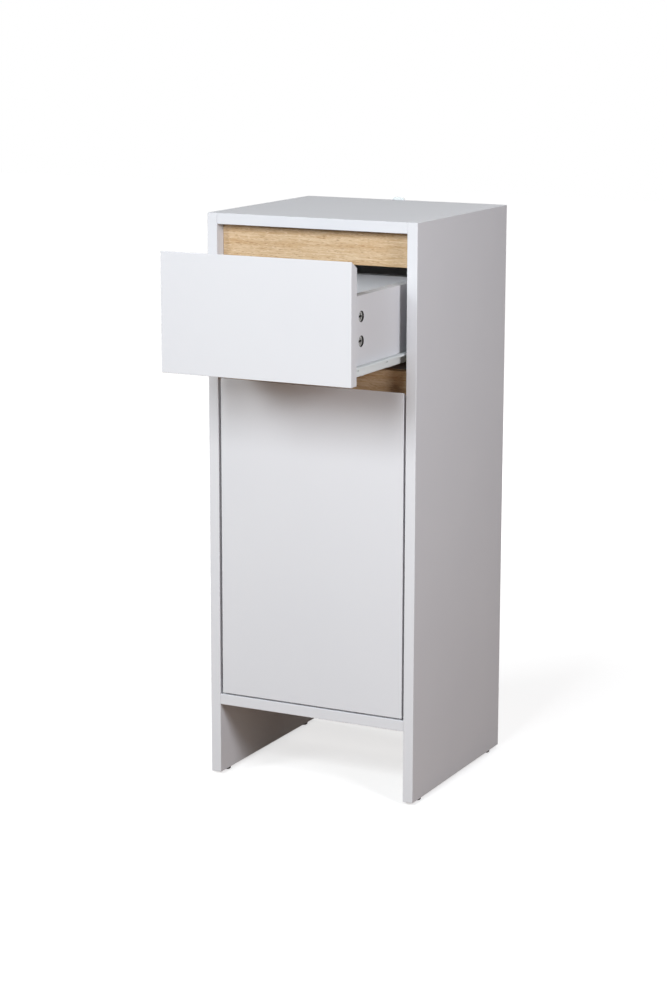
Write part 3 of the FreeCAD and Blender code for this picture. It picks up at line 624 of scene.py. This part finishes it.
# Nylon moulded into rollers: a creamy white that lets some light in
NYLON = Polymer("nylon_moulded", "#E9E8E2", "#E0DFD8", grain_mm=1.2, grain_deep_mm=0.03, gloss=(0.38, 0.5),
                glow=0.25, glow_mm=1.5)
# Polyethylene moulded into feet: nearly black and half dull
DARK_PLASTIC = Polymer("polyethylene_dark_moulded", "#3A332F", "#2A2522", grain_mm=0.8, grain_deep_mm=0.06,
                       gloss=(0.45, 0.6))
# Polyurethane cast into pads: milky and shiny
PAD_RUBBER = Polymer("polyurethane_pad_cast", "#D5D6D3", "#C9CAC7", grain_mm=2.0, grain_deep_mm=0.02,
                     gloss=(0.2, 0.3), glow=0.6, glow_mm=2.0)


def give_finish(node: str, finish: Finish) -> None:
    """Gives a CAD node its finish and reports it.

    Args:
        node: Name of the node.
        finish: Finish of the whole node.
    """
    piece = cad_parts[node]
    for place in piece.material_slots:
        place.material = finish.material()
    LOG.info("%s: %s", node, finish.name)


def middle_of(node: str, axis: Axis) -> float:
    """Middle of a CAD node along an axis, in metres."""
    low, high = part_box(node)
    return getattr((low + high) / 2, axis.value.lower())


def solids_of(node: str) -> list[tuple[Vector, Vector]]:
    """Boxes of the separate solids of a CAD node.

    Args:
        node: Name of the node.

    Returns:
        Lowest and highest corner of each solid.
    """
    merged = bmesh.new()
    merged.from_mesh(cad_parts[node].data)
    bmesh.ops.remove_doubles(merged, verts=merged.verts, dist=WELD)
    boxes = []
    done = set()
    for start in merged.verts:
        if start in done:
            continue
        solid = {start}
        latest = solid
        while latest:
            latest = {link.other_vert(vert) for vert in latest for link in vert.link_edges} - solid
            solid = solid | latest
        done |= solid
        corners = list(zip(*(vert.co for vert in solid)))
        boxes.append((Vector(map(min, corners)), Vector(map(max, corners))))
    merged.free()
    return boxes


def faces_at(verts: list[bmesh.types.BMVert]) -> list[bmesh.types.BMFace]:
    """Faces that meet some points, each once."""
    return list(dict.fromkeys(face for vert in verts for face in vert.link_faces))


@dataclass(frozen=True)
class Fastener(ABC):
    """Turned fastener along Z, with the top of its head at the origin and its tip below."""

    drive: Drive
    drive_size: float
    drive_deep: float
    drive_rim: float
    drive_level: float = 0.0

    @abstractmethod
    def profile(self, radius: float, length: float) -> list[tuple[float, float]]:
        """Half section of the fastener from the rim round its drive to the tip.

        Args:
            radius: Radius of the head.
            length: Length from the top to the tip.

        Returns:
            Radii and heights.
        """

    def painted_shade_from(self, radius: float) -> float:
        """Radius from which a painted shade darkens the section, which is past the head of a fastener that
        takes none there.
        """
        return 2 * radius

    def build(self, radius: float, length: float) -> bmesh.types.BMesh:
        """Turns the half section and sinks the drive in its head.

        Args:
            radius: Radius of the head.
            length: Length from the top to the tip.

        Returns:
            The closed mesh.
        """
        bm = bmesh.new()
        # Marks the points that take a painted shade: those past a given radius, and the sunk drive below
        painted_shade = bm.verts.layers.float.new(PAINTED_SHADE)
        verts = [bm.verts.new((out, 0, up)) for out, up in self.profile(radius, length)]
        for vert in verts:
            vert[painted_shade] = float(vert.co.x > self.painted_shade_from(radius))
        edges = [bm.edges.new(pair) for pair in zip(verts, verts[1:])]
        bmesh.ops.spin(bm, geom=verts + edges, cent=(0, 0, 0), axis=(0, 0, 1), angle=FULL_TURN,
                       steps=ROUND_STEPS, use_merge=True)
        bmesh.ops.remove_doubles(bm, verts=bm.verts, dist=WELD)
        rim = [edge for edge in bm.edges if edge.is_boundary]
        floor = self.drive_outline(bm)
        outline = [edge for edge in bm.edges if edge.is_boundary and edge not in rim]
        bmesh.ops.bridge_loops(bm, edges=rim + outline)
        sunk = bmesh.ops.extrude_face_region(bm, geom=floor)["geom"]
        bmesh.ops.delete(bm, geom=[face for face in floor if face.is_valid], context="FACES_ONLY")
        lowered = [item for item in sunk if isinstance(item, bmesh.types.BMVert)]
        bmesh.ops.translate(bm, verts=lowered, vec=(0, 0, -self.drive_deep))
        # The sunk drive takes a painted shade
        for vert in lowered:
            vert[painted_shade] = 1.0
        bmesh.ops.recalc_face_normals(bm, faces=bm.faces)
        return bm

    def drive_outline(self, bm: bmesh.types.BMesh) -> list[bmesh.types.BMFace]:
        """Adds flat faces in the shape of the drive.

        Args:
            bm: Mesh that takes the faces.

        Returns:
            The new faces.
        """
        level = Matrix.Translation((0, 0, self.drive_level))
        if self.drive is Drive.HEXAGON:
            made = bmesh.ops.create_circle(bm, cap_ends=True, segments=HEXAGON_SIDES,
                                           radius=self.drive_size / 2, matrix=level)
            return faces_at(made["verts"])
        arm = self.drive_size * CROSS_ARM
        made = bmesh.ops.create_grid(bm, x_segments=1, y_segments=1, size=arm, matrix=level)
        faces = faces_at(made["verts"])
        for edge in [edge for face in faces for edge in face.edges]:
            out = sum((vert.co for vert in edge.verts), Vector()) / 2 - level.translation
            grown = bmesh.ops.extrude_edge_only(bm, edges=[edge])["geom"]
            moved = [item for item in grown if isinstance(item, bmesh.types.BMVert)]
            bmesh.ops.translate(bm, verts=moved, vec=out.normalized() * (self.drive_size / 2 - arm))
            faces += [item for item in grown if isinstance(item, bmesh.types.BMFace)]
        return faces


@dataclass(frozen=True)
class Screw(Fastener):
    """Screw with a head on a pointed shank."""

    drive: Drive = Drive.CROSS
    drive_size: float = 3.4 * MM
    drive_deep: float = 1.2 * MM
    drive_rim: float = 2.0 * MM
    head: float = 1.8 * MM
    shank: float = 1.75 * MM
    tip: float = 2.5 * MM

    def below_head(self, length: float) -> list[tuple[float, float]]:
        """Half section of the shank, from the head's underside to the tip."""
        return [(self.shank, -self.head), (self.shank, self.tip - length), (0, -length)]


@dataclass(frozen=True)
class PanHead(Screw):
    """Screw with a domed head that stands on its seat."""

    dome_share: float = 0.8
    dome_steps: int = 6

    def profile(self, radius: float, length: float) -> list[tuple[float, float]]:
        """Half section with a rounded shoulder and a flat underside.

        Args:
            radius: Radius of the head.
            length: Length from the top to the tip.

        Returns:
            Radii and heights.
        """
        points = []
        for step in range(self.dome_steps + 1):
            turn = FULL_TURN / 4 * step / self.dome_steps
            points.append((self.drive_rim + (radius - self.drive_rim) * math.sin(turn),
                           self.head * self.dome_share * (math.cos(turn) - 1)))
        return points + [(radius, -self.head)] + self.below_head(length)


@dataclass(frozen=True)
class SunkHead(Screw):
    """Flat screw whose cone is let into its seat."""

    edge: float = 0.2 * MM

    def profile(self, radius: float, length: float) -> list[tuple[float, float]]:
        """Half section with a flat top, a thin edge and a cone.

        Args:
            radius: Radius of the head.
            length: Length from the top to the tip.

        Returns:
            Radii and heights.
        """
        rim = radius - (radius - self.shank) * self.edge / self.head
        return [(self.drive_rim, 0), (rim, 0), (rim, -self.edge)] + self.below_head(length)


@dataclass(frozen=True)
class BoardScrew(Screw):
    """Thick screw for board joints, with a straight head that is let in flush."""

    drive: Drive = Drive.HEXAGON
    drive_size: float = 4.4 * MM
    drive_deep: float = 2.6 * MM
    drive_rim: float = 2.7 * MM
    head: float = 3.9 * MM
    shank: float = 2.5 * MM
    tip: float = 3.0 * MM
    ease: float = 0.3 * MM

    def profile(self, radius: float, length: float) -> list[tuple[float, float]]:
        """Half section with an eased head and a shoulder.

        Args:
            radius: Radius of the head.
            length: Length from the top to the tip.

        Returns:
            Radii and heights.
        """
        return [(self.drive_rim, 0), (radius - self.ease, 0), (radius, -self.ease),
                (radius, -self.head)] + self.below_head(length)


@dataclass(frozen=True)
class CamDisc(Fastener):
    """Cam of a board joint: a face with a deep cross, sunk inside a thin rim that lines its bore."""

    drive: Drive = Drive.CROSS
    drive_size: float = 8.4 * MM
    drive_deep: float = 3.0 * MM
    drive_rim: float = 4.5 * MM
    drive_level: float = -1.6 * MM
    ease: float = 0.5 * MM
    # The rim's inner wall stands for the bore's wall and takes a painted shade
    rim: float = 0.5 * MM
    corner: float = 0.3 * MM

    def painted_shade_from(self, radius: float) -> float:
        """Radius between the face and the rim's wall, which takes a painted shade."""
        return radius - self.rim - self.corner / 2

    def profile(self, radius: float, length: float) -> list[tuple[float, float]]:
        """Half section with a sunk face, the rim round it and a flat bottom.

        Args:
            radius: Radius of the head.
            length: Length from the top to the tip.

        Returns:
            Radii and heights.
        """
        inner = radius - self.rim
        return [(self.drive_rim, self.drive_level), (inner - self.corner, self.drive_level),
                (inner, self.drive_level), (inner, 0), (radius, 0), (radius, self.ease - length),
                (radius - self.ease, -length), (0, -length)]


@dataclass(frozen=True)
class FastenerSet:
    """Fasteners that stand for the plain ones of a CAD node."""

    node: str
    piece: str
    body: Body
    facing: Facing
    shape: Fastener
    finish: Finish = SCREW_PLATE
    slot: Slot = Slot.SCREW_STEEL

    def build(self) -> bpy.types.Object:
        """Models every fastener of the set where the frame has it.

        Returns:
            One object that rides on the set's body.
        """
        mesh = bpy.data.meshes.new(self.piece)
        whole = bmesh.new()
        for low, high in solids_of(self.node):
            middle = (low + high) / 2
            way = self.facing.way(middle)
            size = high - low
            length = abs(size.dot(way))
            radius = max(abs(part) for part in size - way * size.dot(way)) / 2
            one = self.shape.build(radius, length)
            turn = Vector((0, 0, 1)).rotation_difference(way).to_matrix().to_4x4()
            top = Matrix.Translation(middle + way * length / 2)
            bmesh.ops.transform(one, matrix=top @ turn, verts=one.verts)
            one.to_mesh(mesh)
            one.free()
            whole.from_mesh(mesh)
        whole.to_mesh(mesh)
        whole.free()
        mesh.polygons.foreach_set("use_smooth", [True] * len(mesh.polygons))
        mesh.set_sharp_from_angle(angle=SHARP_ANGLE)
        mesh.materials.append(self.finish.material())
        made = bpy.data.objects.new(self.piece, mesh)
        bpy.context.scene.collection.objects.link(made)
        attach(made, self.body.value)
        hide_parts(self.node)
        LOG.info("%s: %s", self.piece, self.finish.name)
        return made


class SubAssembly(ABC):
    """Group of pieces that are built and dressed together."""

    fasteners: tuple[FastenerSet, ...]

    def build(self) -> None:
        """Models the pieces that the frame only has as plain solids."""
        for fasteners in self.fasteners:
            fasteners.build()

    @abstractmethod
    def dress(self) -> None:
        """Gives the frame's own pieces their finishes."""


@dataclass
class Carcass(SubAssembly):
    """Boards that stand still, with the fittings that hold them, the feet and the hanger."""

    boards: tuple[str, ...] = ("side_panel_left", "side_panel_right", "top_panel", "bottom_panel",
                               "divider_panel", "shelf")
    rails: tuple[str, ...] = ("upper_rail", "lower_rail")
    glides: tuple[str, ...] = ("foot_glide_front_left", "foot_glide_front_right", "foot_glide_back_left",
                               "foot_glide_back_right")
    fasteners: tuple[FastenerSet, ...] = (
        FastenerSet("carcass_cams", "carcass_cam_discs", Body.CABINET, Facing.DOWN, CamDisc(),
                    ZINC, Slot.ZINC),
        FastenerSet("back_panel_screws", "back_panel_pan_screws", Body.CABINET, Facing.BACK, PanHead()),
        FastenerSet("hanger_screw", "hanger_flat_screw", Body.CABINET, Facing.BACK, SunkHead()))

    def dress(self) -> None:
        """Gives boards, rails, back, fittings, feet and hanger their finishes."""
        for board in self.boards:
            give_finish(board, MELAMINE)
        for rail in self.rails:
            give_finish(rail, OAK)
        for glide in self.glides:
            give_finish(glide, DARK_PLASTIC)
        back = PaintedHardboard("hardboard_back_painted", Axis.Y, middle_of("back_panel", Axis.Y),
                                raw_above=True)
        give_finish("back_panel", back)
        give_finish("hanger_plate", EPOXY)
        give_finish("panel_dowels", BEECH)
        give_finish("carcass_cam_bolts", SCREW_PLATE)
        give_finish("shelf_pins", NICKEL)


@dataclass
class Runners(SubAssembly):
    """Roller runners of the drawer, on the cabinet's sides and under the drawer's."""

    rails: tuple[str, ...] = ("cabinet_runner_left", "cabinet_runner_right", "drawer_runner_left",
                              "drawer_runner_right")
    rollers: tuple[str, ...] = ("front_roller_left", "front_roller_right", "rear_roller_left",
                                "rear_roller_right")
    axles: tuple[str, ...] = ("front_roller_axles", "rear_roller_axles")
    fasteners: tuple[FastenerSet, ...] = (
        FastenerSet("cabinet_runner_screws", "cabinet_runner_pan_screws", Body.CABINET, Facing.INWARD,
                    PanHead()),
        FastenerSet("drawer_runner_screws", "drawer_runner_pan_screws", Body.DRAWER, Facing.DOWN,
                    PanHead()))

    def dress(self) -> None:
        """Gives rails, rollers and axles their finishes."""
        for rail in self.rails:
            give_finish(rail, EPOXY)
        for roller in self.rollers:
            give_finish(roller, NYLON)
        for axle in self.axles:
            give_finish(axle, SCREW_PLATE)


@dataclass
class Drawer(SubAssembly):
    """Drawer box behind its front."""

    boards: tuple[str, ...] = ("drawer_side_left", "drawer_side_right", "drawer_back")
    fasteners: tuple[FastenerSet, ...] = (
        FastenerSet("drawer_cams", "drawer_cam_discs", Body.DRAWER, Facing.OUTWARD, CamDisc(),
                    ZINC, Slot.ZINC),
        FastenerSet("drawer_back_screws", "drawer_back_board_screws", Body.DRAWER, Facing.OUTWARD,
                    BoardScrew()))

    def dress(self) -> None:
        """Gives front, box, bottom, bolts and bumpers their finishes."""
        give_finish("drawer_front", LACQUER)
        for board in self.boards:
            give_finish(board, DRAWER_FOIL)
        bottom = PaintedHardboard("hardboard_bottom_painted", Axis.Z, middle_of("drawer_bottom", Axis.Z),
                                  raw_above=False)
        give_finish("drawer_bottom", bottom)
        give_finish("drawer_cam_bolts", SCREW_PLATE)
        give_finish("drawer_bumpers", PAD_RUBBER)


@dataclass
class Door(SubAssembly):
    """Hinged door and its two cup hinges."""

    hinges: tuple[str, ...] = ("lower", "upper")
    pressings: tuple[str, ...] = ("hinge_cup", "hinge_outer_link", "hinge_inner_link", "hinge_arm",
                                  "hinge_plate")
    pins: tuple[str, ...] = ("hinge_cup_pins", "hinge_arm_pins")
    fasteners: tuple[FastenerSet, ...] = (
        FastenerSet("hinge_cup_screws", "hinge_cup_pan_screws", Body.DOOR, Facing.BACK, PanHead()),
        FastenerSet("hinge_plate_screws", "hinge_plate_pan_screws", Body.CABINET, Facing.RIGHT, PanHead()),
        FastenerSet("hinge_arm_screws", "hinge_arm_pan_screws", Body.CABINET, Facing.RIGHT, PanHead()))

    def dress(self) -> None:
        """Gives door, hinges, pins and bumpers their finishes."""
        give_finish("door_panel", LACQUER)
        give_finish("door_bumpers", PAD_RUBBER)
        for hinge in self.hinges:
            for pressing in self.pressings:
                give_finish(f"{pressing}_{hinge}", NICKEL)
        for pin in self.pins:
            give_finish(pin, SCREW_PLATE)


@dataclass(frozen=True)
class Softbox:
    """Large soft lamp on an arc round the cabinet, with its turn to the right of the front and its rise."""

    name: str
    turn_deg: float
    rise_deg: float
    width: float
    height: float
    watts: float
    colour: str = WHITE
    reach: float = 3.0
    aim: tuple[float, float, float] = (0.0, -0.05, 0.45)

    def build(self) -> bpy.types.Object:
        """Adds the lamp, turned to its aim.

        Returns:
            The lamp's object.
        """
        light = bpy.data.lights.new(self.name, "AREA")
        light.shape = "RECTANGLE"
        light.size = self.width
        light.size_y = self.height
        light.energy = self.watts
        light.color = linear(self.colour)[:3]
        lamp = bpy.data.objects.new(self.name, light)
        bpy.context.scene.collection.objects.link(lamp)
        turn = Matrix.Rotation(math.radians(self.turn_deg), 4, "Z")
        rise = Matrix.Rotation(math.radians(LEVEL_TILT_DEG - self.rise_deg), 4, "X")
        out = Matrix.Translation((0, 0, self.reach))
        lamp.matrix_world = Matrix.Translation(self.aim) @ turn @ rise @ out
        lamp.visible_camera = False
        return lamp


@dataclass(frozen=True)
class PhotoCamera:
    """Camera where the photograph was taken from, as solved from the corners of its panels."""

    place: tuple[float, float, float] = (1.4998, -2.9772, 1.1104)
    yaw_deg: float = 26.75
    pitch_deg: float = 12.01
    roll_deg: float = 0.13
    focal_px: float = 2445.74
    long_side_px: float = 1000.0
    sensor_mm: float = 36.0

    def build(self) -> bpy.types.Object:
        """Adds the camera and makes it the scene's.

        Returns:
            The camera's object.
        """
        data = bpy.data.cameras.new("photo_camera")
        data.sensor_width = self.sensor_mm
        data.lens = self.focal_px / self.long_side_px * self.sensor_mm
        camera = bpy.data.objects.new("photo_camera", data)
        bpy.context.scene.collection.objects.link(camera)
        level = Matrix.Rotation(math.radians(self.yaw_deg), 4, "Z")
        tilt = Matrix.Rotation(math.radians(LEVEL_TILT_DEG - self.pitch_deg), 4, "X")
        roll = Matrix.Rotation(math.radians(self.roll_deg), 4, "Z")
        camera.matrix_world = Matrix.Translation(self.place) @ level @ tilt @ roll
        bpy.context.scene.camera = camera
        return camera


# Painted studio floor: pale to the camera and in reflections, fading to white away from the cabinet
# and its shadow.
@dataclass(frozen=True)
class StudioFloor(Finish):
    """Matt floor that keeps the cabinet's shadow and throws a little warm light back up."""

    name: str = "floor_paint_matt"
    seen_colour: str = "#D3D3D3"
    bounce_colour: str = "#937D6B"
    # Distances from the cabinet's middle, in metres, and how far the floor is lifted towards white there
    near: float = 0.45
    far: float = 2.2
    lift_near: float = 0.62
    lift_far: float = 1.0

    def surface(self, tree: bpy.types.NodeTree, place: bpy.types.NodeSocket) -> bpy.types.Node:
        """Adds a matt paint that is lifted towards white for the rays that show it.

        Args:
            tree: Node tree of the material.
            place: Object coordinates in metres.

        Returns:
            The shader node.
        """
        shown = shown_rays(tree)
        away = add_node(tree, "ShaderNodeVectorMath", {"operation": "LENGTH"}, {0: place})
        lift = add_node(tree, "ShaderNodeMapRange", {"interpolation_type": "SMOOTHSTEP"}, {
            "Value": away.outputs["Value"], "From Min": self.near, "From Max": self.far,
            "To Min": self.lift_near, "To Max": self.lift_far})
        strength = add_node(tree, "ShaderNodeMath", {"operation": "MULTIPLY"}, {
            0: shown, 1: lift.outputs["Result"]})
        tone = add_node(tree, "ShaderNodeMix", {"data_type": "RGBA"}, {
            "Factor": shown, MIX_A: linear(self.bounce_colour), MIX_B: linear(self.seen_colour)})
        glow = add_node(tree, "ShaderNodeEmission", inputs={"Strength": strength.outputs["Value"]})
        matt = add_node(tree, "ShaderNodeBsdfDiffuse", inputs={"Color": tone.outputs[MIX_RESULT]})
        return add_node(tree, "ShaderNodeAddShader", inputs={0: matt.outputs[0], 1: glow.outputs[0]})


@dataclass
class Studio:
    """Floor, white surround, lamps and camera."""

    floor_half: float = 9.0
    ambient: float = 0.035
    ambient_colour: str = "#FFF2EA"
    camera: PhotoCamera = PhotoCamera()
    lamps: tuple[Softbox, ...] = (
        Softbox("key_front", turn_deg=0.5, rise_deg=27.8, width=0.9, height=1.25, watts=50.2,
                colour="#F6FCFF"),
        Softbox("key_left", turn_deg=-32.0, rise_deg=26.0, width=0.8, height=0.9, watts=31.4,
                colour="#F6FCFF"),
        Softbox("side_right", turn_deg=66.0, rise_deg=21.0, width=0.46, height=0.52, watts=19.6,
                colour="#F9FAFF", reach=2.0),
        Softbox("side_left", turn_deg=-100.0, rise_deg=12.0, width=1.0, height=1.0, watts=28.0),
        Softbox("rear", turn_deg=180.0, rise_deg=34.0, width=1.0, height=0.8, watts=22.0))

    def build(self) -> None:
        """Adds the whole studio."""
        self.lay_floor()
        self.wrap_world()
        for lamp in self.lamps:
            lamp.build()
            LOG.info("lamp: %s", lamp.name)
        self.camera.build()
        bpy.context.scene.view_settings.view_transform = "Standard"

    def lay_floor(self) -> bpy.types.Object:
        """Lays the floor under the cabinet's feet.

        Returns:
            The floor's object.
        """
        mesh = bpy.data.meshes.new("studio_floor")
        bm = bmesh.new()
        bmesh.ops.create_grid(bm, x_segments=1, y_segments=1, size=self.floor_half)
        bm.to_mesh(mesh)
        bm.free()
        mesh.materials.append(StudioFloor().material())
        floor = bpy.data.objects.new("studio_floor", mesh)
        bpy.context.scene.collection.objects.link(floor)
        return floor

    def wrap_world(self) -> None:
        """Surrounds the scene with soft light that the camera and reflections see as white."""
        world = bpy.data.worlds.new("white_surround")
        world.use_nodes = True
        tree = world.node_tree
        tree.nodes.clear()
        shown = shown_rays(tree)
        soft = add_node(tree, "ShaderNodeBackground", inputs={
            "Color": linear(self.ambient_colour), "Strength": self.ambient})
        white = add_node(tree, "ShaderNodeBackground", inputs={"Color": linear(WHITE), "Strength": 1.0})
        mixed = add_node(tree, "ShaderNodeMixShader", inputs={
            0: shown, 1: soft.outputs[0], 2: white.outputs[0]})
        add_node(tree, "ShaderNodeOutputWorld", inputs={"Surface": mixed.outputs[0]})
        bpy.context.scene.world = world


def main() -> None:
    """Builds and dresses the sub-assemblies, then sets up the studio."""
    logging.basicConfig(level=logging.INFO, format="%(name)s: %(message)s")
    for part in (Carcass(), Runners(), Drawer(), Door()):
        LOG.info("sub-assembly: %s", type(part).__name__)
        part.build()
        part.dress()
    Studio().build()


if __name__ == "__main__":
    main()
